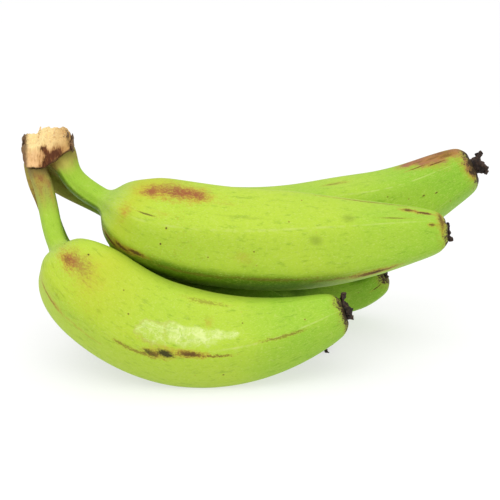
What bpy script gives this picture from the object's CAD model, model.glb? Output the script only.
"""Looks of a cut hand of five green plantains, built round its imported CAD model.

Every finger is a loft of circles along the same route as its solid, with five raised ridges.
Its peel is coloured by the distance along the finger and the angle round it, which the mesh
carries as an attribute. The crown is a cut block with torn fibres on top, and each finger
ends in the shrivelled rest of its flower. Measures in the tables are millimetres.
"""

import math
import random
from collections import namedtuple

import bpy
import numpy as np
from mathutils import Matrix, Vector


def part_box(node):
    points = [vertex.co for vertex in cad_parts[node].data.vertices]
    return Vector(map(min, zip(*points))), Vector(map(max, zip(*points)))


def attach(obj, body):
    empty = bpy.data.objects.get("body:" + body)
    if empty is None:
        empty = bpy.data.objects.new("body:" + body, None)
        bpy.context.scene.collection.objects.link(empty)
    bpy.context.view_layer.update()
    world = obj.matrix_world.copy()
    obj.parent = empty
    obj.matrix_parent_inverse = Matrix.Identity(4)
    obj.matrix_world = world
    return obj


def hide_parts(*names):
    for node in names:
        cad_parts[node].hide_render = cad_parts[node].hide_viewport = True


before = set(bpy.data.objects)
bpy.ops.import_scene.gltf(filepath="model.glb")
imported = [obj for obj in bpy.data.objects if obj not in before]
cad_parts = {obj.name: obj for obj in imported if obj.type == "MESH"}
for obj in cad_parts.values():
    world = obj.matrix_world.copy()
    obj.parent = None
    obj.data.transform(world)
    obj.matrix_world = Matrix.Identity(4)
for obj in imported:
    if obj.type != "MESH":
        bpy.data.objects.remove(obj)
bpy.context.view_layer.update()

MM = 0.001
GAP = 0.3

# The crown's block, as the solid has it: it leans to the left towards the back, and its
# underside is a flat facet and a slanted one. Its left end flares a little towards the top,
# and its upper right edge is cut off.
CROWN_FRONT = -3.5
CROWN_BACK = 37.5
CROWN_LEFT = -117.2
CROWN_RIGHT = -90.6
CROWN_LEAN_LEFT = 7.0
CROWN_LEAN_RIGHT = 5.8
CROWN_TOP = 122.6
FLAT_FACET_HEIGHT = 106.4
SLANT_START_X = -106.4
SLANT_END_X = -91.0
SLANT_END_HEIGHT = 117.6
SLANT_LEAN = 6.0
CROWN_DEPTH = CROWN_BACK - CROWN_FRONT
SLANT_SLOPE = (SLANT_END_HEIGHT - FLAT_FACET_HEIGHT) / (SLANT_END_X - SLANT_START_X)
LEFT_FLARE = 0.06
FLARE_HEIGHT = 115.0
CUT_EDGE_IN = 0.3
CUT_EDGE_DOWN = 5.5
CUT_EDGE_SLOPE = 0.9
BLOCK_X = -107  # the middle of the block that its planes cut
BLOCK_WIDTH = 50

# The torn top steps down at its ends, and a crease runs up the front from the fork of the
# two facets.
TOP_STEP = 3.6
RIGHT_STEP = 0.8 * TOP_STEP
LEFT_STEP_AT = 0.24  # shares of the crown's width
RIGHT_STEP_AT = 0.80
STEP_WIDTH = 0.16
STEP_FOOT = FLAT_FACET_HEIGHT + 6.0
STEP_HEIGHT = 8.0
CREASE_FOOT = -105.6
CREASE_SLOPE = 0.12
CREASE_WIDTH = 2.4
CREASE_DEPTH = 2.0
CREASE_REACH = 9.0

# The fibres on the crown, and those that stand out, each at its place with its length.
FIBRES = 90
SPIKES = {7: (-101.5, 2.0, 9.2), 31: (-105.8, 3.0, 6.4), 58: (-98.6, 12.0, 6.2)}
SPIKE_RADIUS = 1.3
FIBRE_END_RADIUS = 0.14

# The flakes of skin along the crown's edges; the last ones lie on its top.
FLAKES = 32
EDGE_FLAKES = 26
FLAKE_THICKNESS = 0.9

# Where the hand's own millimetres lie in the frame, read off the crown's lowest corner.
CROWN_CORNER = Vector((CROWN_LEFT - CROWN_LEAN_LEFT, CROWN_FRONT, FLAT_FACET_HEIGHT))
HAND = Vector(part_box("crown")[0]) / MM - CROWN_CORNER

# Girth along a finger.
SHOULDER_START = 0.32
TAPER_LENGTH = 92.0
TAPER_POWER = 1.6
END_ROUNDING = 6.0
END_FACE = 0.60
FLARE_LENGTH = 8.5
ROOT_HALF_DEPTH = 6.1
ROOT_LENGTH = 16.0
RING_POINTS = 32
STEM_RINGS = 7
SHOULDER_RINGS = 8
SHOULDER_LENGTH = 32.0
BODY_RINGS = 14
SIDE_GIRTH = 0.955  # share of the radius in the middle of a side
RIDGE_RELIEF = 0.103  # what a ridge adds to it
RIDGE_SHARPNESS = 1.5

# The curve along a finger is sampled this often between two of its places, and its direction
# is read over this distance to either side.
SAMPLES = 40
DIRECTION_REACH = 0.3

# The attribute along_around holds the distance along a finger in centimetres, and the cosine
# and the sine of the angle round it.
CENTIMETRE = 10.0

# Angles round a finger run from the back (0) over the top (90) and the front (180) to the
# underside (270). Each ridge has its angle at the neck and at the tip, and each pale ridge
# line its strength and where it starts. The stem is tan for a length, and brown, shade, green
# and depth say how brown its top is, how dark the lower side and how green the peel.
FINGERS = {
    "upper_front": {
        "root_at": (-100.4, 9),
        "route": [
            (-93.2, 8, 98.5), (-83.5, 6, 91), (-74, 3.5, 86.1), (-58, 2, 77.8), (-40, 1.5, 72.6),
            (-5, 1.5, 67.1), (28, 1.5, 65.8), (56, 1.5, 66.6), (84, 1.5, 69.6), (103.8, 2, 71.5),
        ],
        "neck": 37.0, "growth": 12.5, "full": 26.9, "stem": 6.1, "root": 8.7, "tip": 0.38,
        "ridges": ((3, 3), (82, 84), (176, 136), (208, 212), (282, 282)),
        "pale": ((0.3, 60), (0.1, 60), (0.32, 52), (0.15, 120), (0.2, 60)),
        "tan": 7.0, "brown": 0.25, "shade": 0.85, "green": 0.12,
    },
    "lower_front": {
        "root_at": (-111.4, 4),
        "route": [
            (-108.2, 3.5, 94.8), (-105.4, 0, 82.8), (-102, -7, 71), (-94, -17, 59.8),
            (-77.5, -25.7, 45.1), (-52, -31, 30.4), (-28, -31, 23.8), (0, -31, 23.6),
            (24, -30, 28.5), (48, -28, 37.2),
        ],
        "neck": 48.0, "growth": 10.0, "full": 26.0, "stem": 5.2, "root": 5.0, "tip": 0.41,
        "ridges": ((48, 48), (118, 112), (210, 158), (262, 246), (320, 320)),
        "pale": ((0.2, 60), (0.0, 60), (0.5, 148), (0.15, 80), (0.3, 60)),
        "tan": 22.0, "brown": 0.75, "shade": 0.35, "green": 0.08,
    },
    "upper_back": {
        "root_at": (-102.4, 23),
        "route": [
            (-98, 24.5, 96.8), (-90.5, 28, 87.8), (-81, 33, 80.8), (-62, 40.6, 73.3),
            (-44, 48, 65.3), (-22, 51, 61), (5, 51.5, 59.3), (30, 51.5, 61.2),
            (56, 51.5, 66.6), (78, 51.5, 72.5), (98, 51.5, 81.8), (112, 51.5, 90),
            (125.6, 51, 97),
        ],
        "neck": 53.0, "growth": 17.0, "full": 25.0, "stem": 5.6, "root": 7.4, "tip": 0.51,
        "ridges": ((-12, -12), (56, 76), (102, 146), (204, 204), (276, 276)),
        "pale": ((0.3, 70), (0.15, 70), (0.42, 180), (0.2, 90), (0.3, 70)),
        "tan": 12.0, "brown": 0.4, "shade": 0.3, "green": 0.42,
    },
    "lower_middle": {
        "root_at": (-115.6, 17),
        "route": [
            (-115.2, 17, 97.3), (-110.4, 17, 84.8), (-107.2, 18, 71.8), (-100.6, 19, 55),
            (-88, 20, 38.7), (-67, 20, 26), (-40, 20, 21.4), (-12, 20, 20.6),
            (14, 19.5, 14.9), (41.5, 17, 4.6),
        ],
        "neck": 52.0, "growth": 11.5, "full": 23.6, "stem": 4.9, "root": 5.4, "tip": 0.36,
        "ridges": ((20, 20), (92, 92), (164, 164), (236, 236), (308, 308)),
        "pale": ((0.3, 60),) * 5,
        "tan": 34.0, "brown": 0.3, "shade": 0.8, "green": 0.4, "depth": 0.62,
    },
    "lower_back": {
        "root_at": (-116, 30),
        "route": [
            (-113.5, 31, 97.8), (-103.5, 34.5, 89.3), (-92, 40, 81.8), (-81, 50, 73),
            (-72, 69.5, 57.8), (-61, 79, 42.6), (-48, 81, 29), (-30, 80, 21.4),
            (0, 77, 19.5), (30, 75, 18.6), (52, 73, 17.6), (68, 70, 20.2), (79.3, 68, 29),
        ],
        "neck": 73.0, "growth": 11.5, "full": 22.0, "stem": 5.6, "root": 5.3, "tip": 0.42,
        "ridges": ((10, 10), (82, 82), (154, 154), (226, 226), (298, 298)),
        "pale": ((0.3, 80),) * 5,
        "tan": 46.0, "brown": 0.5, "shade": 0.8, "green": 0.35, "depth": 0.2,
    },
}

# Marks on the peel, the later ones over the earlier: kind, distance along the finger, angle
# round it, half length, half width and how strong it is.
MARKS = {
    "upper_front": [
        ("bruise", 58, 121, 9, 4.6, 1.0), ("bruise", 73, 117, 12, 5.4, 1.0),
        ("bruise", 84, 114, 8, 4.4, 0.9), ("bruise", 68, 112, 22, 7.0, 0.5),
        ("stain", 48, 221, 5.5, 2.4, 1.0), ("stain", 55, 212, 5.0, 1.9, 0.95),
        ("stain", 61, 208, 5.0, 1.3, 0.9), ("scratch", 60, 156, 7.0, 0.6, 0.9),
        ("orange", 49, 164, 4.0, 9.0, 0.9), ("olive", 149.5, 164, 5.0, 3.6, 0.55),
        ("dot", 71.5, 166, 0.8, 0.7, 0.9), ("dot", 70, 186, 0.8, 0.7, 0.9),
        ("dot", 118, 178, 0.6, 0.5, 0.7), ("scratch", 192.5, 131, 9.0, 0.7, 0.9),
        ("stain", 200.5, 104, 4.5, 2.4, 0.9), ("stain", 209, 108, 6.5, 2.4, 0.95),
        ("stain", 211.5, 146, 2.4, 2.0, 0.8), ("olive", 167.5, 133, 6.0, 4.2, 0.5),
        ("stain", 179, 223, 12.0, 3.4, 1.0), ("rubbed", 160, 218, 11.0, 1.4, 0.5),
        ("stain", 180, 90, 26.0, 0.8, 0.6), ("orange", 68, 150, 9.0, 2.5, 0.35),
        ("dot", 95, 190, 0.6, 0.5, 0.6), ("orange", 100, 122, 14.0, 2.0, 0.3),
        ("olive", 110, 140, 20.0, 1.2, 0.3), ("stain", 2.5, 210, 3.5, 16, 0.5),
        ("rubbed", 128, 211, 20.0, 1.2, 0.45), ("orange", 113, 186, 8.0, 5.0, 0.35),
        ("rubbed", 85, 214, 18.0, 1.0, 0.4), ("khaki", 5, 165, 9.0, 30.0, 0.8),
        ("stain", 217, 120, 2.0, 22.0, 0.85), ("scorch", 181, 223, 6.0, 1.8, 0.75),
    ],
    "lower_front": [
        ("bruise", 62, 158, 6.5, 4.2, 0.8), ("stain", 61.5, 160, 3.4, 2.4, 0.6),
        ("bruise", 66, 152, 12.0, 7.0, 0.5), ("dot", 66.5, 134, 0.8, 0.7, 0.9),
        ("dot", 52.5, 146, 0.7, 0.6, 0.8), ("scorch", 116, 189, 4.5, 2.2, 0.9),
        ("scorch", 121, 185, 5.5, 2.6, 0.95), ("rubbed", 109, 194, 9.0, 1.2, 0.62),
        ("stain", 133, 180, 8.0, 1.9, 0.95), ("rubbed", 147, 181, 8.0, 0.9, 0.8),
        ("orange", 69, 214, 12.0, 2.6, 0.8), ("stain", 66, 215, 7.0, 1.0, 0.5),
        ("orange", 86, 213, 16.0, 1.4, 0.6), ("dot", 149.5, 213, 0.7, 0.6, 0.8),
        ("dot", 100, 160, 0.6, 0.5, 0.7), ("dot", 92, 140, 0.5, 0.5, 0.6),
        ("dot", 160, 140, 0.5, 0.5, 0.7), ("rubbed", 178, 168, 13.0, 1.2, 0.6),
        ("orange", 141, 141, 6.0, 4.0, 0.5), ("wax", 131, 160, 19.0, 6.4, 1.0),
        ("wax", 113, 166, 9.0, 6.6, 0.9), ("wax", 148, 155, 12.0, 3.6, 0.8),
        ("orange", 118, 178, 20.0, 1.6, 0.45), ("rubbed", 138, 116, 14.0, 1.6, 0.42),
        ("orange", 17, 132, 9.0, 6.0, 0.9), ("bruise", 6, 170, 4.0, 15.0, 0.6),
        ("bruise", 12, 190, 8.0, 7.0, 0.3),
    ],
    "upper_back": [
        ("rust", 231, 88, 8.0, 7.0, 1.0), ("rust", 240, 94, 9.0, 13.0, 1.0),
        ("rust", 248, 99, 9.0, 15.5, 1.0), ("rust", 256, 96, 4.5, 14.0, 0.9),
        ("stain", 234, 113, 8.0, 1.0, 0.9), ("stain", 245, 122, 7.0, 1.4, 0.9),
        ("stain", 252, 108, 6.0, 4.6, 0.8), ("stain", 250, 92, 8.0, 9.0, 0.45),
        ("stain", 244, 100, 6.0, 2.4, 0.5), ("stain", 236, 96, 5.0, 1.6, 0.5),
        ("stain", 242, 80, 9.0, 1.2, 0.8), ("rust", 259, 160, 2.4, 15.0, 1.0),
        ("stain", 259.5, 175, 2.0, 12.0, 1.0), ("dot", 229.5, 171, 1.1, 0.6, 0.9),
        ("dot", 236.5, 178, 1.1, 0.6, 0.9), ("stain", 182, 102, 8.0, 1.6, 0.4),
        ("dot", 210, 150, 0.6, 0.5, 0.7), ("bruise", 98, 12, 10.0, 5.0, 0.6),
        ("rubbed", 165, 348, 22.0, 1.6, 0.8), ("stain", 126, 35, 7.0, 1.4, 0.7),
        ("olive", 148, 18, 6.0, 4.0, 0.5), ("dot", 118, 2, 0.8, 0.7, 0.8),
        ("orange", 205, 20, 12.0, 5.0, 0.5),
    ],
    "lower_middle": [
        ("stain", 196, 170, 9.0, 4.0, 0.6), ("stain", 28, 215, 20.0, 40.0, 0.6),
        ("rubbed", 118, 92, 18.0, 1.4, 0.6), ("bruise", 70, 200, 6.0, 4.0, 0.6),
        ("dot", 90, 170, 0.7, 0.6, 0.8),
    ],
    "lower_back": [
        ("scorch", 249, 188, 4.5, 0.8, 1.0), ("deep", 195, 166, 40.0, 14.0, 0.9),
        ("deep", 241, 136, 14.0, 8.0, 0.8), ("dot", 238, 176, 0.6, 0.5, 0.8),
        ("bruise", 104, 40, 9.0, 5.0, 0.7), ("rubbed", 156, 12, 24.0, 1.5, 0.8),
        ("stain", 206, 352, 7.0, 1.6, 0.8), ("olive", 140, 340, 6.0, 4.0, 0.5),
        ("dot", 128, 20, 0.8, 0.7, 0.8), ("orange", 180, 330, 14.0, 5.0, 0.5),
    ],
}

# The shrivelled flowers: length, radius, how many lobes, how far they lean out, and a seed.
FlowerEnd = namedtuple("FlowerEnd", "length radius lobes lean seed")
FLOWER_ENDS = {
    "upper_front": FlowerEnd(2.4, 5.6, 7, 55, 2),
    "lower_front": FlowerEnd(3.4, 6.4, 8, 62, 5),
    "upper_back": FlowerEnd(8.6, 6.0, 9, 34, 7),
    "lower_middle": FlowerEnd(4.6, 4.8, 7, 44, 11),
    "lower_back": FlowerEnd(1.6, 3.6, 6, 40, 13),
}


def crown_share(y):
    """How far back in the crown this is, from 0 at its front to 1 at its back."""
    return (y - CROWN_FRONT) / CROWN_DEPTH


def crown_left(share):
    return CROWN_LEFT - share * CROWN_LEAN_LEFT


def crown_right(share):
    return CROWN_RIGHT - share * CROWN_LEAN_RIGHT


def place(x, y, z):
    """A point of the hand's own millimetres, in the frame's metres."""
    return (Vector((x, y, z)) + HAND) * MM


def start_piece(name):
    """An empty mesh at the origin, in edit mode, so that what is added stays in its mesh."""
    bpy.ops.object.select_all(action="DESELECT")
    bpy.ops.object.add(type="MESH", location=(0, 0, 0))
    obj = bpy.context.object
    obj.name = name
    obj.data.name = name
    bpy.ops.object.mode_set(mode="EDIT")
    return obj


def select_mesh():
    bpy.ops.mesh.select_all(action="SELECT")


def apply_modifier(obj, kind, **settings):
    modifier = obj.modifiers.new(kind.lower(), kind)
    for key, value in settings.items():
        setattr(modifier, key, value)
    bpy.ops.object.select_all(action="DESELECT")
    obj.select_set(True)
    bpy.context.view_layer.objects.active = obj
    bpy.ops.object.modifier_apply(modifier=modifier.name)


def clouds(name, size, depth=2):
    texture = bpy.data.textures.new(name, "CLOUDS")
    texture.noise_scale = size
    texture.noise_depth = depth
    return texture


def roughen(obj, size, relief, stretch=(1, 1, 1), direction="NORMAL", group=""):
    """Moves the surface by noise of this grain, which may be stretched along an axis."""
    bpy.ops.object.empty_add(location=(0, 0, 0))
    guide = bpy.context.object
    guide.scale = stretch
    bpy.context.view_layer.update()
    apply_modifier(
        obj, "DISPLACE", texture=clouds("grain", size * MM), texture_coords="OBJECT",
        texture_coords_object=guide, strength=relief * MM, mid_level=0.5, direction=direction,
        vertex_group=group,
    )
    bpy.data.objects.remove(guide)


def dress(obj, finish, slot, *nodes):
    """Finishes a piece: its material, what it rides on and which solids it stands for."""
    obj.data.materials.clear()
    obj.data.materials.append(finish.material)
    obj.data.shade_smooth()
    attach(obj, "root")
    if nodes:
        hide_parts(*nodes)


# Shapes of the fingers.

def ease(share):
    share = min(max(share, 0.0), 1.0)
    return share * share * (3 - 2 * share)


def underside(x, y):
    """Height of the crown's underside at this place, and its normal."""
    past_corner = x - (SLANT_START_X - SLANT_LEAN * crown_share(y))
    if past_corner <= 0:
        return FLAT_FACET_HEIGHT, Vector((0, 0, -1))
    normal = Vector((SLANT_SLOPE, SLANT_SLOPE * SLANT_LEAN / CROWN_DEPTH, -1)).normalized()
    return FLAT_FACET_HEIGHT + past_corner * SLANT_SLOPE, normal


class Route:
    """The smooth curve along the middle of a finger, read by the distance along it."""

    def __init__(self, finger):
        x, y = finger["root_at"]
        height, normal = underside(x, y)
        root = Vector((x, y, height)) + normal * GAP
        nodes = np.array([root[:], *finger["route"]], float)
        spans = np.linalg.norm(np.diff(nodes, axis=0), axis=1)
        knots = np.concatenate([[0.0], np.cumsum(spans)])
        slopes = np.gradient(nodes, knots, axis=0)
        slopes[0] = normal
        pieces = []
        for i, span in enumerate(np.diff(knots)):
            t = np.linspace(0.0, 1.0, SAMPLES)[:, None]
            rise = t * t * (3 - 2 * t)
            pieces.append(
                nodes[i] * (1 - rise) + nodes[i + 1] * rise
                + span * (slopes[i] * t * (1 - t) ** 2 - slopes[i + 1] * t * t * (1 - t))
            )
        self.places = np.vstack(pieces)
        steps = np.linalg.norm(np.diff(self.places, axis=0), axis=1)
        self.distances = np.concatenate([[0.0], np.cumsum(steps)])
        self.length = self.distances[-1]

    def at(self, distance):
        return Vector([np.interp(distance, self.distances, self.places[:, k]) for k in range(3)])

    def frame(self, distance):
        """Unit vectors along the route, to its back and to its upper side."""
        before = max(distance - DIRECTION_REACH, 0.0)
        after = min(distance + DIRECTION_REACH, self.length)
        along = (self.at(after) - self.at(before)).normalized()
        back = Vector((0, 1, 0))
        back = (back - along * back.dot(along)).normalized()
        return along, back, along.cross(back)


def girth(finger, distance, length):
    """Radius of the finger at this distance from the crown."""
    past_neck = distance - finger["neck"]
    stem = finger["stem"] + (finger["root"] - finger["stem"]) * (1 - ease(distance / FLARE_LENGTH))
    missing = (1 - SHOULDER_START) * math.exp(-max(past_neck, 0.0) / finger["growth"])
    body = finger["full"] * (1 - missing)
    radius = max(stem, body) if past_neck > 0 else stem
    taper = max(distance - (length - TAPER_LENGTH), 0.0) / TAPER_LENGTH
    radius *= 1 - (1 - finger["tip"]) * taper ** TAPER_POWER
    rounding = max(distance - (length - END_ROUNDING), 0.0) / END_ROUNDING
    return radius * math.sqrt(1 - (1 - END_FACE ** 2) * rounding ** 2)


def ring_distances(finger, length):
    neck = finger["neck"]
    full = neck + SHOULDER_LENGTH
    blunt = length - END_ROUNDING
    stem = [0.0, 0.6, *np.linspace(3.5, neck, STEM_RINGS)]
    shoulder = np.linspace(neck, full, SHOULDER_RINGS + 1)[1:]
    body = np.linspace(full, blunt, BODY_RINGS + 1)[1:]
    return [*stem, *shoulder, *body, blunt + 0.55 * END_ROUNDING, length - 0.6, length]


def ridge_share(finger, share, angle):
    """How high the section stands at this angle: 1 on a ridge, 0 between two."""
    ridges = [neck + (tip - neck) * share for neck, tip in finger["ridges"]]
    for ridge, following in zip(ridges, [*ridges[1:], ridges[0] + 360]):
        past = (angle - ridge) % 360
        if past < following - ridge:
            return abs(2 * past / (following - ridge) - 1) ** RIDGE_SHARPNESS
    return 0.0


def rest_on_floor(obj):
    """Flattens what would reach below the floor."""
    for vertex in obj.data.vertices:
        vertex.co.z = max(vertex.co.z, 0.0)


def add_finger(name, finger):
    """Circles along the route, bridged, closed, raised on the ridges and subdivided."""
    route = Route(finger)
    obj = start_piece("peel_" + name)
    distances = ring_distances(finger, route.length)
    heights = []
    coordinates = []
    for distance in distances:
        along, back, up = route.frame(distance)
        radius = girth(finger, distance, route.length)
        root = 1 - ease(distance / ROOT_LENGTH)
        depth = radius + (min(radius, ROOT_HALF_DEPTH) - radius) * root
        centre = place(*route.at(distance))
        turn = Matrix((back, up, along)).transposed()
        bpy.ops.mesh.primitive_circle_add(
            vertices=RING_POINTS, radius=radius * SIDE_GIRTH * MM, fill_type="NOTHING",
            location=centre, rotation=turn.to_euler(),
        )
        if depth < radius:
            bpy.ops.transform.resize(value=(1, depth / radius, 1), center_override=centre)
        for i in range(RING_POINTS):
            angle = 90 + 360 * i / RING_POINTS
            height = ridge_share(finger, distance / route.length, angle)
            heights.append(height * radius / finger["full"])
            angle = math.radians(angle)
            coordinates.append((distance / CENTIMETRE, math.cos(angle), math.sin(angle)))
    select_mesh()
    bpy.ops.mesh.bridge_edge_loops()
    select_mesh()
    bpy.ops.mesh.fill_holes(sides=0)
    select_mesh()
    bpy.ops.mesh.normals_make_consistent(inside=False)
    bpy.ops.object.mode_set(mode="OBJECT")
    attribute = obj.data.attributes.new("along_around", "FLOAT_VECTOR", "POINT")
    attribute.data.foreach_set("vector", np.array(coordinates).ravel())
    group = obj.vertex_groups.new(name="ridges")
    for i, height in enumerate(heights):
        group.add([i], height, "REPLACE")
    relief = RIDGE_RELIEF * finger["full"] * MM
    apply_modifier(obj, "DISPLACE", strength=relief, mid_level=0.0, vertex_group="ridges")
    apply_modifier(obj, "SUBSURF", levels=2, render_levels=2)
    obj.vertex_groups.clear()
    rest_on_floor(obj)
    return obj, route


# Shapes of the crown and of the flowers' ends.

def crown_planes():
    """A point and an outward normal for each side of the crown's block."""
    right_lean = CROWN_LEAN_RIGHT / CROWN_DEPTH
    corner = (SLANT_START_X, CROWN_FRONT, FLAT_FACET_HEIGHT)
    edge = (CROWN_RIGHT - CUT_EDGE_IN, CROWN_FRONT, CROWN_TOP - CUT_EDGE_DOWN)
    return [
        ((CROWN_LEFT, CROWN_FRONT, FLARE_HEIGHT), (-1, -CROWN_LEAN_LEFT / CROWN_DEPTH, -LEFT_FLARE)),
        ((CROWN_RIGHT, CROWN_FRONT, FLARE_HEIGHT), (1, right_lean, 0)),
        (corner, (SLANT_SLOPE, SLANT_SLOPE * SLANT_LEAN / CROWN_DEPTH, -1)),
        (edge, (1, right_lean, CUT_EDGE_SLOPE)),
    ]


def shape_crown(obj):
    """Steps the torn top down at both ends and presses a crease into the front."""
    for vertex in obj.data.vertices:
        x, y, z = vertex.co / MM - HAND
        share = crown_share(y)
        left = crown_left(share)
        across = (x - left) / (crown_right(share) - left)
        drop = TOP_STEP * (1 - ease((across - LEFT_STEP_AT) / STEP_WIDTH))
        drop += RIGHT_STEP * ease((across - RIGHT_STEP_AT) / STEP_WIDTH)
        drop *= ease((z - STEP_FOOT) / STEP_HEIGHT)
        beside = (x - (CREASE_FOOT + (z - FLAT_FACET_HEIGHT) * CREASE_SLOPE)) / CREASE_WIDTH
        pressed = CREASE_DEPTH * math.exp(-beside * beside) * (1 - ease((y - CROWN_FRONT) / CREASE_REACH))
        vertex.co = place(x, y + pressed, z - drop)


def add_crown():
    """A block cut by planes, then torn: stepped, creased and roughened along its strands."""
    obj = start_piece("cut_crown")
    height = CROWN_TOP - 1.0 - FLAT_FACET_HEIGHT
    bpy.ops.mesh.primitive_cube_add(
        size=MM, location=place(BLOCK_X, (CROWN_FRONT + CROWN_BACK) / 2, FLAT_FACET_HEIGHT + height / 2),
        scale=(BLOCK_WIDTH, CROWN_DEPTH, height),
    )
    for point, normal in crown_planes():
        select_mesh()
        bpy.ops.mesh.bisect(
            plane_co=place(*point), plane_no=Vector(normal).normalized(), use_fill=True, clear_outer=True,
        )
    select_mesh()
    bpy.ops.mesh.normals_make_consistent(inside=False)
    bpy.ops.object.mode_set(mode="OBJECT")
    apply_modifier(obj, "BEVEL", width=1.2 * MM, segments=3, limit_method="ANGLE")
    apply_modifier(obj, "REMESH", mode="VOXEL", voxel_size=0.5 * MM)
    shape_crown(obj)
    roughen(obj, size=9.0, relief=2.0)
    roughen(obj, size=1.8, relief=1.5, stretch=(1, 1, 7))
    top = obj.vertex_groups.new(name="top")
    foot = place(0, 0, CROWN_TOP - 6.5).z
    for vertex in obj.data.vertices:
        over = (vertex.co.z - foot) / (3.0 * MM)
        top.add([vertex.index], min(max(over, 0.0), 1.0), "REPLACE")
    roughen(obj, size=3.2, relief=4.4, direction="Z", group="top")
    obj.vertex_groups.clear()
    return obj


def add_fibres():
    """Torn strands that stand on the crown's top, tallest in the middle."""
    obj = start_piece("torn_fibres")
    draw = random.Random(4)
    for i in range(FIBRES):
        share = draw.uniform(0.0, 0.98)
        across = draw.uniform(0.30, 0.84)
        left = crown_left(share)
        x = left + (crown_right(share) - left) * across
        y = CROWN_FRONT + 1.0 + (CROWN_DEPTH - 2.0) * share
        length = draw.uniform(3.0, 5.0)
        if i in SPIKES:
            x, y, length = SPIKES[i]
            radius = SPIKE_RADIUS
        else:
            radius = draw.uniform(0.5, 1.1)
        bpy.ops.mesh.primitive_cone_add(
            vertices=6, radius1=radius * MM, radius2=FIBRE_END_RADIUS * MM, depth=length * MM,
            location=place(x, y, CROWN_TOP - 4.4 + length / 2),
            rotation=(draw.uniform(-0.25, 0.25), draw.uniform(-0.25, 0.25), draw.uniform(0, 3.1)),
        )
    bpy.ops.object.mode_set(mode="OBJECT")
    apply_modifier(obj, "SUBSURF", levels=1, render_levels=1)
    return obj


def add_skin():
    """Dark flakes of the stalk's skin along the crown's right and left edges."""
    obj = start_piece("crown_skin")
    draw = random.Random(9)
    for i in range(FLAKES):
        share = draw.uniform(0.09, 0.91)
        y = CROWN_FRONT + CROWN_DEPTH * share
        on_right = i % 2 == 0
        x = crown_right(share) - 0.9 if on_right else crown_left(share) + 0.6
        top = CROWN_TOP - 4.6 if on_right else CROWN_TOP - 1.5 - 4 * share
        length = draw.uniform(4.0, 7.0)
        lean = draw.uniform(-0.35, 0.05) if on_right else draw.uniform(-0.05, 0.2)
        if i >= EDGE_FLAKES:
            x = crown_right(share) - draw.uniform(2.5, 6.0)
            top = CROWN_TOP - 0.9
            length = draw.uniform(2.4, 3.4)
        bpy.ops.mesh.primitive_cube_add(
            size=MM, location=place(x, y, top - length * 0.22),
            rotation=(draw.uniform(-0.3, 0.3), lean, 0),
            scale=(FLAKE_THICKNESS, draw.uniform(3.0, 6.5), length),
        )
    bpy.ops.object.mode_set(mode="OBJECT")
    apply_modifier(obj, "SUBSURF", levels=3, render_levels=3)
    roughen(obj, size=1.2, relief=0.8)
    return obj


def add_flower_end(name, end, route):
    """Shrivelled lobes round a small core, melted into one crumpled lump."""
    obj = start_piece("flower_end_" + name)
    along, back, up = route.frame(route.length)
    turn = Matrix((back, up, along)).transposed()
    foot = route.at(route.length) + along * GAP
    draw = random.Random(end.seed)
    bpy.ops.mesh.primitive_cube_add(
        size=MM, location=place(*(foot + along * (0.2 * end.length))), rotation=turn.to_euler(),
        scale=(end.radius * 1.25, end.radius * 1.25, end.length * 0.5),
    )
    for i in range(end.lobes):
        around = math.radians(360 * i / end.lobes + draw.uniform(-20, 20))
        lean = math.radians(end.lean * draw.uniform(0.6, 1.15))
        outward = back * math.cos(around) + up * math.sin(around)
        reach = end.length * draw.uniform(0.7, 1.0) / max(math.cos(lean), 0.35)
        direction = along * math.cos(lean) + outward * math.sin(lean)
        aside = direction.cross(outward).normalized()
        bend = Matrix((aside, direction.cross(aside), direction)).transposed()
        base = foot + outward * (end.radius * draw.uniform(0.25, 0.6))
        width = end.radius * draw.uniform(0.35, 0.6)
        thickness = end.radius * draw.uniform(0.16, 0.26)
        bpy.ops.mesh.primitive_cube_add(
            size=MM, location=place(*(base + direction * (reach * 0.3))), rotation=bend.to_euler(),
            scale=(width, thickness, reach * 0.75),
        )
        curl = base + direction * (reach * 0.7) + aside * draw.uniform(-1.2, 1.2)
        bpy.ops.mesh.primitive_cube_add(
            size=MM, location=place(*curl), rotation=(draw.uniform(0, 3), draw.uniform(0, 3), 0),
            scale=(width * 0.7, thickness * 1.3, reach * 0.45),
        )
    bpy.ops.object.mode_set(mode="OBJECT")
    apply_modifier(obj, "REMESH", mode="VOXEL", voxel_size=0.35 * MM)
    roughen(obj, size=1.3, relief=1.0)
    roughen(obj, size=0.5, relief=0.45)
    bpy.ops.object.mode_set(mode="EDIT")
    select_mesh()
    bpy.ops.mesh.bisect(plane_co=place(*foot), plane_no=-along, use_fill=True, clear_outer=True)
    bpy.ops.object.mode_set(mode="OBJECT")
    rest_on_floor(obj)
    return obj


# Materials.

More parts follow.
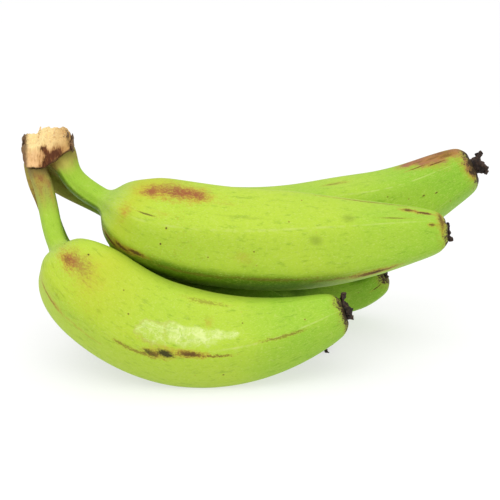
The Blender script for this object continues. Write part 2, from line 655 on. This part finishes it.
class Value:
    """A node's output that takes part in sums with numbers and other outputs."""

    def __init__(self, nodes, socket):
        self.nodes = nodes
        self.socket = socket

    def maths(self, operation, *operands):
        return self.nodes.node("ShaderNodeMath", {"operation": operation}, dict(enumerate(operands)))

    def __add__(self, other):
        return self.maths("ADD", self, other)

    def __radd__(self, other):
        return self.maths("ADD", other, self)

    def __sub__(self, other):
        return self.maths("SUBTRACT", self, other)

    def __rsub__(self, other):
        return self.maths("SUBTRACT", other, self)

    def __mul__(self, other):
        return self.maths("MULTIPLY", self, other)

    def __rmul__(self, other):
        return self.maths("MULTIPLY", other, self)

    def __truediv__(self, other):
        return self.maths("DIVIDE", self, other)

    def __pow__(self, other):
        return self.maths("POWER", self, other)

    def absolute(self):
        return self.maths("ABSOLUTE", self)

    def larger(self, other):
        return self.maths("MAXIMUM", self, other)

    def turned_from(self, angle):
        """How far this angle is from another one, from -180 to 180."""
        apart = self - angle
        return apart.maths("WRAP", apart, 180.0, -180.0)

    def clamped(self):
        return self.nodes.node("ShaderNodeClamp", {}, {"Value": self, "Min": 0.0, "Max": 1.0})

    def over(self, low, high):
        """0 below low, 1 above high and smooth between; the other way round if low is larger."""
        return self.nodes.node(
            "ShaderNodeMapRange", {"interpolation_type": "SMOOTHSTEP"},
            {"Value": self, "From Min": low, "From Max": high, "To Min": 0.0, "To Max": 1.0},
        )


class Nodes:
    """A node tree, and the one way in which its nodes are added."""

    def __init__(self, tree):
        self.tree = tree

    def node(self, kind, settings, inputs, output=0):
        node = self.tree.nodes.new(kind)
        for key, value in settings.items():
            setattr(node, key, value)
        for key, value in inputs.items():
            socket = node.inputs[key]
            if isinstance(value, Value):
                self.tree.links.new(value.socket, socket)
            elif socket.type == "RGBA":
                socket.default_value = (*value, 1.0)
            else:
                socket.default_value = value
        return Value(self, node.outputs[output])

    def mixed(self, first, second, share):
        """Colour between two, by the share of the second. The node's sockets share their names."""
        return self.node("ShaderNodeMix", {"data_type": "RGBA"}, {0: share, 6: first, 7: second}, 2)

    def object_place(self):
        return self.node("ShaderNodeTexCoord", {}, {}, "Object")

    def noise(self, vector, scale, detail=2.0, roughness=0.5):
        inputs = {"Vector": vector, "Scale": scale, "Detail": detail, "Roughness": roughness}
        return self.node("ShaderNodeTexNoise", {}, inputs)

    def vector(self, x, y, z):
        return self.node("ShaderNodeCombineXYZ", {}, {"X": x, "Y": y, "Z": z})

    def part_of(self, vector, axis):
        return self.node("ShaderNodeSeparateXYZ", {}, {"Vector": vector}, axis)

    def bump(self, height, strength, distance):
        inputs = {"Height": height, "Strength": strength, "Distance": distance * MM}
        return self.node("ShaderNodeBump", {}, inputs, "Normal")


class Finish(Nodes):
    """A material, its shader's constant values and what is led to the shader."""

    def __init__(self, name, **constants):
        self.material = bpy.data.materials.new(name)
        self.material.use_nodes = True
        super().__init__(self.material.node_tree)
        self.shader = self.tree.nodes["Principled BSDF"]
        for key, value in constants.items():
            self.shader.inputs[key.replace("_", " ")].default_value = value

    def give(self, key, value):
        """Leads a value to one of the shader's sockets."""
        self.tree.links.new(value.socket, self.shader.inputs[key])


# Linear colours.
GREEN_YELLOW = (0.42, 0.570, 0.048)
GREEN = (0.25, 0.475, 0.036)
GREEN_DEEP = (0.10, 0.235, 0.012)
FACET_GREEN = (0.085, 0.170, 0.007)
GREEN_PALE = (0.50, 0.60, 0.13)
BLUSH = (0.50, 0.47, 0.022)
COLLAR = (0.42, 0.50, 0.19)
RIDGE_PALE = (0.56, 0.62, 0.20)
STEM_TAN = (0.36, 0.29, 0.075)
STEM_RED = (0.29, 0.13, 0.06)
STEM_BROWN = (0.17, 0.105, 0.045)
TIP_BLACK = (0.035, 0.022, 0.014)
ORANGE = (0.46, 0.25, 0.035)
SPECK = (0.10, 0.070, 0.020)
WAX = (0.66, 0.74, 0.27)
WAX_RIM = (0.38, 0.30, 0.06)

FLESH = (0.88, 0.56, 0.27)
FLESH_DARK = (0.66, 0.36, 0.14)
FLESH_PALE = (0.93, 0.72, 0.33)
FLESH_TAN = (0.46, 0.23, 0.055)
FLESH_BROWN = (0.30, 0.14, 0.045)
STAIN_EDGE = (0.36, 0.15, 0.04)
STAIN = (0.085, 0.022, 0.008)
STAIN_STRANDS = (0.30, 0.105, 0.03)
HOLE = (0.09, 0.035, 0.010)
SEAM = (0.09, 0.040, 0.016)
LEFT_SKIN = (0.13, 0.065, 0.030)
RIGHT_SKIN = (0.035, 0.022, 0.014)
FIBRE = (0.86, 0.67, 0.36)
FIBRE_DARK = (0.66, 0.40, 0.17)
FIBRE_BROWN = (0.42, 0.20, 0.07)

# A kind of mark has a colour, how ragged and speckled its edge is, how soft it is and how
# strong its orange fringe is.
Mark = namedtuple("Mark", "colour ragged speckled soft fringe")
MARK_KINDS = {
    "bruise": Mark((0.25, 0.058, 0.042), 1.3, 2.8, 1.0, 0.45),
    "rust": Mark((0.31, 0.128, 0.086), 1.0, 1.8, 0.6, 0.35),
    "rubbed": Mark((0.17, 0.095, 0.022), 1.2, 4.6, 0.6, 0.30),
    "stain": Mark((0.105, 0.050, 0.018), 1.0, 2.4, 0.7, 0.6),
    "scratch": Mark((0.13, 0.115, 0.022), 0.6, 1.6, 0.8, 0.2),
    "scorch": Mark((0.034, 0.027, 0.014), 0.7, 1.8, 0.6, 0.40),
    "orange": Mark((0.44, 0.25, 0.04), 1.4, 2.6, 1.4, 0.0),
    "olive": Mark((0.20, 0.27, 0.030), 0.9, 1.0, 1.0, 0.0),
    "dot": Mark((0.07, 0.045, 0.015), 0.3, 0.4, 0.6, 0.3),
    "khaki": Mark((0.62, 0.55, 0.12), 0.6, 1.2, 1.2, 0.0),
    "deep": Mark((0.030, 0.080, 0.004), 0.5, 0.5, 1.0, 0.0),
}
MM_A_DEGREE = 0.42  # round a finger that is 24 mm in radius


class Peel(Finish):
    """Green peel with fibres, specks, ridge lines and marks, a tan stem and a brown tip."""

    def __init__(self, name, finger, length, marks):
        super().__init__(
            "peel_" + name, Coat_Roughness=0.18, Specular_IOR_Level=0.12,
            Specular_Tint=(0.80, 1.0, 0.50, 1.0),
        )
        self.finger = finger
        self.length = length
        around = self.node("ShaderNodeAttribute", {"attribute_name": "along_around"}, {}, "Vector")
        self.along = self.part_of(around, "X") * CENTIMETRE
        self.cosine = self.part_of(around, "Y")
        self.sine = self.part_of(around, "Z")
        degrees = self.sine.maths("ARCTAN2", self.sine, self.cosine) * (180 / math.pi)
        self.angle = degrees.maths("WRAP", degrees, 360.0, 0.0)
        self.where = self.object_place()
        self.seed = 3.7 * len(name) + finger["full"]

        self.streaks = self.lengthwise(0.012, 1.0, 14.0, 4.0, 0.6)
        self.fine_streaks = self.lengthwise(0.05, 3.0, 16.0, 3.0, 0.6)
        self.fibres = self.lengthwise(0.4, 24.0, 1.0, 3.0, 0.7)
        self.mottle = self.noise(self.where, 420.0, 3.0, 0.6)
        self.grain = self.noise(self.where, 1300.0, 2.0, 0.6)
        self.patches = self.noise(self.where, 34.0, 3.0, 0.55)
        self.broad = self.noise(self.where, 13.0, 2.0)

        colour = self.greens()
        colour = self.ridge_lines(colour)
        colour = self.specks(colour)
        colour = self.stem(colour)
        self.outline = self.noise(self.where, 150.0, 3.0, 0.6) - 0.5
        self.speckle = self.fibres * 0.6 + self.grain * 0.4 - 0.5
        colour = self.marks(colour, [mark for mark in marks if mark[0] != "wax"])
        film = self.wax_film([mark for mark in marks if mark[0] == "wax"])
        if film is not None:
            colour, crease = self.wax(colour, film)
        self.give("Base Color", self.tip(colour))
        roughness = 0.38 + self.mottle * 0.14 + self.patches * 0.10
        roughness += self.marked * 0.22 + self.tan * 0.15 + self.end * 0.2
        relief = self.fine_streaks * 0.5 + self.mottle * 0.35 + self.patches * 0.8
        relief += self.line_relief * 0.35 - self.speck * 0.4 - self.marked * 0.5
        if film is not None:
            roughness -= film * 0.22
            relief += film * crease * 1.2
            self.give("Coat Weight", film * 0.55)
        self.give("Roughness", roughness.clamped())
        self.give("Normal", self.bump(relief, 0.35, 0.35))

    def lengthwise(self, along_scale, around_scale, scale, detail, roughness):
        """Noise that is drawn out along the finger."""
        x = self.along * along_scale + self.seed
        drawn_out = self.vector(x, self.cosine * around_scale, self.sine * around_scale)
        return self.noise(drawn_out, scale, detail, roughness)

    def ridge_angle(self, ridge):
        """The angle of a ridge all along the finger."""
        neck, tip = ridge
        return self.along / self.length * (tip - neck) + neck % 360

    def inside(self, at, angle, half_length, half_width):
        """How far inside a mark this place is: 1 at its middle and 0 at its edge."""
        across = self.angle.turned_from(float(angle)) * (MM_A_DEGREE / half_width)
        forward = (self.along - float(at)) / half_length
        return 1.0 - (forward * forward + across * across) ** 0.5

    def greens(self):
        """Yellow green to green, darker on the lowest facet and paler in fine streaks."""
        neck = self.finger["neck"]
        tipward = self.along.over(self.length - 75, self.length - 5)
        stemward = self.along.over(neck + 14, neck - 10)
        greener = (self.patches - 0.5) * 0.9 + (self.broad - 0.5) * 0.8
        greener = greener + tipward * 0.65 + stemward * 0.45 + self.finger["green"]
        colour = self.mixed(GREEN_YELLOW, GREEN, greener.clamped())
        colour = self.mixed(colour, GREEN_DEEP, self.finger.get("depth", 0.0))
        past_edge = self.angle.turned_from(self.ridge_angle(self.finger["ridges"][3]))
        below = (past_edge + (self.patches - 0.5) * 6.0).over(-9.0, 3.0) * past_edge.over(120.0, 70.0)
        below = below * self.along.over(self.length - 26, self.length - 90)
        colour = self.mixed(colour, FACET_GREEN, below * self.finger["shade"])
        colour = self.mixed(colour, GREEN_DEEP, self.streaks.over(0.53, 0.72) * 0.36)
        colour = self.mixed(colour, GREEN_PALE, self.fine_streaks.over(0.50, 0.72) * 0.55)
        colour = self.mixed(colour, GREEN_DEEP, self.fibres.over(0.58, 0.82) * 0.20)
        colour = self.mixed(colour, GREEN_DEEP, self.mottle.over(0.55, 0.80) * 0.22)
        colour = self.mixed(colour, GREEN_PALE, self.mottle.over(0.46, 0.24) * 0.30)
        colour = self.mixed(colour, GREEN_DEEP, self.grain.over(0.50, 0.85) * 0.16)
        # A warm blush spreads over the shoulder.
        blush = self.along.over(neck + 75, neck + 15) * self.along.over(neck + 2, neck + 14)
        colour = self.mixed(colour, BLUSH, blush * self.broad.over(0.40, 0.62) * 0.5)
        # Round the neck the peel is greyer and paler.
        collar = (self.along - (neck + 3.0)).absolute().over(9.0, 2.0) * self.fine_streaks.over(0.35, 0.65)
        colour = self.mixed(colour, COLLAR, collar * 0.45)
        # Orange freckles gather near the shoulder.
        freckles = self.grain.over(0.56, 0.70) * self.patches.over(0.46, 0.62)
        freckles = freckles * self.along.over(self.length - 60, neck + 20)
        return self.mixed(colour, ORANGE, freckles * 0.40)

    def ridge_lines(self, colour):
        """Pale lines along the ridges, rubbed away here and there."""
        lines = None
        for ridge, (strength, start) in zip(self.finger["ridges"], self.finger["pale"]):
            apart = self.angle.turned_from(self.ridge_angle(ridge)).absolute()
            apart = (apart + (self.patches - 0.5) * 3.0).absolute()
            line = apart.over(2.0, 0.2) * self.along.over(start - 8.0, start + 8.0) * strength
            lines = line if lines is None else lines.larger(line)
        neck = self.finger["neck"]
        self.line_relief = lines * self.along.over(neck + 4, neck + 22)
        broken = self.lengthwise(0.06, 1.0, 3.0, 3.0, 0.5).over(0.36, 0.60)
        return self.mixed(colour, RIDGE_PALE, self.line_relief * broken)

    def specks(self, colour):
        """Small specks with a faint orange ring, in a few of the cells of a pattern."""
        inputs = {"Vector": self.where, "Scale": 130.0}
        distance = self.node("ShaderNodeTexVoronoi", {}, inputs)
        draw = self.part_of(self.node("ShaderNodeTexVoronoi", {}, inputs, "Color"), "X")
        chosen = draw.over(0.80, 0.84)
        self.speck = distance.over(0.07, 0.02) * chosen
        colour = self.mixed(colour, ORANGE, distance.over(0.12, 0.03) * chosen * 0.30)
        return self.mixed(colour, SPECK, self.speck * 0.75)

    def stem(self, colour):
        """The stem: tan by the crown, brown at its very top."""
        wander = (self.streaks - 0.5) * 18.0 + (self.patches - 0.5) * 10.0
        tan_length = self.finger["tan"]
        self.tan = (self.along + wander).over(tan_length * 1.3, tan_length * 0.4)
        brown = (self.along + wander * 0.7).over(8.0, 1.5)
        smudge = self.noise(self.where, 110.0, 3.0, 0.6)
        colour = self.mixed(colour, STEM_TAN, self.tan * 0.85)
        colour = self.mixed(colour, STEM_RED, self.tan * smudge.over(0.52, 0.68) * 0.55)
        colour = self.mixed(colour, STEM_BROWN, brown * self.finger["brown"])
        return self.mixed(colour, STEM_BROWN, self.tan * self.grain.over(0.53, 0.68) * 0.5)

    def marks(self, colour, marks):
        """Marks at their places, each with a ragged, speckled edge and an orange fringe."""
        self.marked = None
        for kind, *ellipse, strength in marks:
            look = MARK_KINDS[kind]
            ragged = self.inside(*ellipse) + self.outline * look.ragged + self.speckle * look.speckled
            mark = (ragged.over(0.0, look.soft) * strength).clamped()
            if look.fringe:
                fringe = (ragged + 0.55).over(0.0, 0.9) * (look.fringe * strength)
                colour = self.mixed(colour, ORANGE, fringe)
            colour = self.mixed(colour, look.colour, mark)
            self.marked = mark if self.marked is None else self.marked.larger(mark)
        return colour

    def wax_film(self, marks):
        """Where the peel has a film of wax, or None on a finger without any."""
        film = None
        for _, *ellipse, strength in marks:
            ragged = self.inside(*ellipse) + self.outline * 1.5 + self.speckle * 0.8
            patch = ragged.over(0.0, 0.45) * strength
            film = patch if film is None else film.larger(patch)
        return film

    def wax(self, colour, film):
        """A cloudy, wrinkled film with a brownish rim, and its creases."""
        x = self.along * 0.16 + self.outline * 1.5
        y = self.angle * 0.11 + self.speckle * 2.0
        inputs = {"Vector": self.vector(x, y, 0.0), "Scale": 1.0}
        crease = self.node("ShaderNodeTexVoronoi", {"feature": "DISTANCE_TO_EDGE"}, inputs).over(0.14, 0.02)
        cloudy = self.noise(self.vector(self.along * 0.12, self.angle * 0.16, self.seed), 1.0, 3.0, 0.6)
        bands = self.noise(self.vector(self.along * 0.45, self.angle * 0.02, self.seed), 1.0, 2.0, 0.6)
        cover = cloudy.over(0.38, 0.64) * 0.28 + bands.over(0.42, 0.62) * 0.25 + crease * 0.40
        colour = self.mixed(colour, WAX, (film * cover).clamped())
        rim = film.over(0.05, 0.4) * film.over(0.9, 0.5) * self.broad.over(0.45, 0.55)
        return self.mixed(colour, WAX_RIM, rim * 0.30), crease

    def tip(self, colour):
        """The tip: brown where the flower sat."""
        frayed = self.along + (self.patches - 0.5) * 8.0 + (self.mottle - 0.5) * 7.0
        frayed = frayed + (self.grain - 0.5) * 6.0
        length = self.length
        self.end = frayed.over(length - 3.4, length - 1.2)
        colour = self.mixed(colour, ORANGE, frayed.over(length - 6.0, length - 2.5) * 0.18)
        colour = self.mixed(colour, STEM_BROWN, self.end * 0.90)
        return self.mixed(colour, TIP_BLACK, frayed.over(length - 2.2, length - 0.6) * 0.9)


class CrownFinish(Finish):
    """Torn flesh: cream on the top left, tan to the right, with a red-brown stained crease."""

    def __init__(self):
        super().__init__("cut_stalk", Specular_IOR_Level=0.25)
        where = self.object_place()
        self.x = self.part_of(where, "X") / MM - HAND.x
        self.z = self.part_of(where, "Z") / MM - HAND.z
        y = self.part_of(where, "Y") / MM - HAND.y
        share = crown_share(y)
        left = self.x - crown_left(share)
        right = crown_right(share) - self.x
        strands = self.noise(self.vector(self.x * 1.1, y * 1.1, self.z * 0.16), 1.0, 4.0, 0.65)
        blots = self.noise(where, 170.0, 3.0, 0.6)
        wide = self.noise(where, 75.0, 2.0)
        grain = self.noise(where, 900.0, 2.0)
        self.edge = (blots - 0.5) * 2.6 + (strands - 0.5) * 1.8

        colour = self.mixed(FLESH, FLESH_DARK, strands.over(0.40, 0.66))
        pale = (self.z - left * 0.05 + (blots - 0.5) * 7.0).over(CROWN_TOP - 9.5, CROWN_TOP - 4.0)
        colour = self.mixed(colour, FLESH_PALE, pale * 0.85)
        tan = (right + (wide - 0.5) * 12.0 + (strands - 0.5) * 10.0).over(15.0, 2.0)
        colour = self.mixed(colour, FLESH_TAN, tan * 0.75)
        colour = self.mixed(colour, FLESH_BROWN, strands.over(0.58, 0.72) * 0.55)

        # The stain runs up the front from the fork of the two facets, with a hole beside it.
        front = y.over(CROWN_FRONT + 12.0, CROWN_FRONT + 5.0)
        stain = self.blot(-101.8, 112.8, 7.0, 3.2, 50)
        stain = stain.larger(self.blot(-105.6, 109.0, 3.6, 2.4, 66))
        stain = stain.larger(self.blot(-105.6, 115.6, 3.2, 1.7, 125))
        stained = stain.over(-0.1, 0.45) * front
        colour = self.mixed(colour, STAIN_EDGE, (stain + 0.70).over(0.0, 0.8) * front * 0.7)
        colour = self.mixed(colour, STAIN, stained * 0.95)
        colour = self.mixed(colour, STAIN_STRANDS, stained * strands.over(0.52, 0.36) * 0.6)
        hole = self.blot(-107.2, 117.2, 1.5, 1.1, 100)
        colour = self.mixed(colour, HOLE, hole.over(0.1, 0.5) * front * 0.9)

        # Dark along the underside's edge and over the two ends.
        past_corner = self.x - (share * -SLANT_LEAN + SLANT_START_X)
        foot = past_corner.larger(0.0) * SLANT_SLOPE + FLAT_FACET_HEIGHT
        seam = (self.z - foot + (blots - 0.5) * 1.2).over(1.3, 0.3)
        colour = self.mixed(colour, SEAM, seam * 0.85)
        left_skin = (left + (blots - 0.5) * 2.4).over(3.2, 0.9)
        right_skin = (right + (blots - 0.5) * 2.4).over(2.4, 0.9)
        colour = self.mixed(colour, LEFT_SKIN, left_skin * 0.88)
        colour = self.mixed(colour, RIGHT_SKIN, right_skin * 0.92)
        self.give("Base Color", colour)
        self.give("Roughness", 0.72 + grain * 0.25)
        self.give("Normal", self.bump(strands * 1.4 + blots * 0.6 + grain * 0.2, 0.7, 0.8))

    def blot(self, at_x, at_z, half_length, half_width, tilt):
        """How far inside a blot on the front this place is, with a ragged edge."""
        turn = math.radians(tilt)
        beside = self.x - at_x
        above = self.z - at_z
        forward = (beside * math.cos(turn) + above * math.sin(turn)) / half_length
        across = (above * math.cos(turn) - beside * math.sin(turn)) / half_width
        return 1.0 - (forward * forward + across * across) ** 0.5 + self.edge


def fibre_finish():
    finish = Finish("torn_fibre", Specular_IOR_Level=0.25)
    where = finish.object_place()
    strands = finish.noise(where, 700.0, 3.0)
    blots = finish.noise(where, 160.0, 2.0)
    colour = finish.mixed(FIBRE, FIBRE_DARK, strands.over(0.35, 0.7))
    colour = finish.mixed(colour, FIBRE_BROWN, blots.over(0.62, 0.72) * 0.6)
    finish.give("Base Color", colour)
    finish.give("Roughness", 0.7 + strands * 0.25)
    finish.give("Normal", finish.bump(strands, 0.4, 0.3))
    return finish


def dried_finish(name, dark, light):
    """Dried plant stuff, blackish with browner crests."""
    finish = Finish(name, Specular_IOR_Level=0.3)
    where = finish.object_place()
    crumple = finish.noise(where, 520.0, 4.0, 0.65)
    blots = finish.noise(where, 170.0, 2.0)
    colour = finish.mixed(dark, light, (crumple * 0.6 + blots * 0.6).over(0.50, 0.78))
    finish.give("Base Color", colour)
    finish.give("Roughness", 0.62 + crumple * 0.3)
    finish.give("Normal", finish.bump(crumple, 0.7, 0.5))
    return finish


# The hand.
dried = dried_finish("dried_flower", (0.018, 0.012, 0.010), (0.085, 0.048, 0.030))
skin = dried_finish("stalk_skin", (0.045, 0.026, 0.016), (0.34, 0.19, 0.085))
for name, finger in FINGERS.items():
    piece, route = add_finger(name, finger)
    dress(piece, Peel(name, finger, float(route.length), MARKS[name]), "peel", "finger_" + name)
    end_piece = add_flower_end(name, FLOWER_ENDS[name], route)
    dress(end_piece, dried, "dried", "dried_end_" + name)
dress(add_crown(), CrownFinish(), "crown", "crown")
dress(add_fibres(), fibre_finish(), "crown")
dress(add_skin(), skin, "crown")

# Floor, light and camera. The sky is dim at the horizon, so that undersides stay dark.
SKY_LOW = 0.45
SKY_HIGH = 1.25
WHITE = (1.0, 1.0, 1.0, 1.0)
FLOOR_GREY = (0.38, 0.38, 0.38, 1.0)
KEY_POWER = 7.7
KEY_SIZE = (1.3, 0.9)
KEY_PLACE = Vector((-0.12, -0.80, 1.0))
KEY_TARGET = Vector((0, 0, 0.04))

bpy.ops.object.select_all(action="DESELECT")
bpy.ops.mesh.primitive_plane_add(size=30.0, location=(0, 0, 0))
floor = bpy.context.object
floor.name = "floor"
floor_finish = Finish(
    "white_floor", Base_Color=FLOOR_GREY, Roughness=0.8, Specular_IOR_Level=0.1,
    Emission_Color=WHITE, Emission_Strength=0.61,
)
floor.data.materials.append(floor_finish.material)

world = bpy.data.worlds.new("studio")
bpy.context.scene.world = world
world.use_nodes = True
sky = Nodes(world.node_tree)
height = sky.part_of(sky.node("ShaderNodeTexCoord", {}, {}, "Generated"), "Z")
brightness = sky.node(
    "ShaderNodeMapRange", {},
    {"Value": height, "From Min": 0.0, "From Max": 1.0, "To Min": SKY_LOW, "To Max": SKY_HIGH},
)
background = world.node_tree.nodes["Background"]
background.inputs["Color"].default_value = WHITE
world.node_tree.links.new(brightness.socket, background.inputs["Strength"])

bpy.ops.object.light_add(type="AREA", location=KEY_PLACE)
key = bpy.context.object
key.name = "key"
key.data.shape = "RECTANGLE"
key.data.size, key.data.size_y = KEY_SIZE
key.data.energy = KEY_POWER
key.rotation_euler = (KEY_TARGET - KEY_PLACE).to_track_quat("-Z", "Y").to_euler()

CAMERA_DISTANCE = 626.0
CAMERA_ELEVATION = math.radians(15)
CAMERA_TARGET = place(0, 0, 62.0)
bpy.ops.object.camera_add()
camera = bpy.context.object
toward = Vector((0, math.cos(CAMERA_ELEVATION), -math.sin(CAMERA_ELEVATION)))
camera.location = CAMERA_TARGET - toward * CAMERA_DISTANCE * MM
camera.rotation_euler = toward.to_track_quat("-Z", "Y").to_euler()
camera.data.lens = 85.0
camera.data.sensor_width = 36.0
camera.data.clip_end = 60.0
bpy.context.scene.camera = camera
bpy.context.scene.view_settings.view_transform = "Standard"
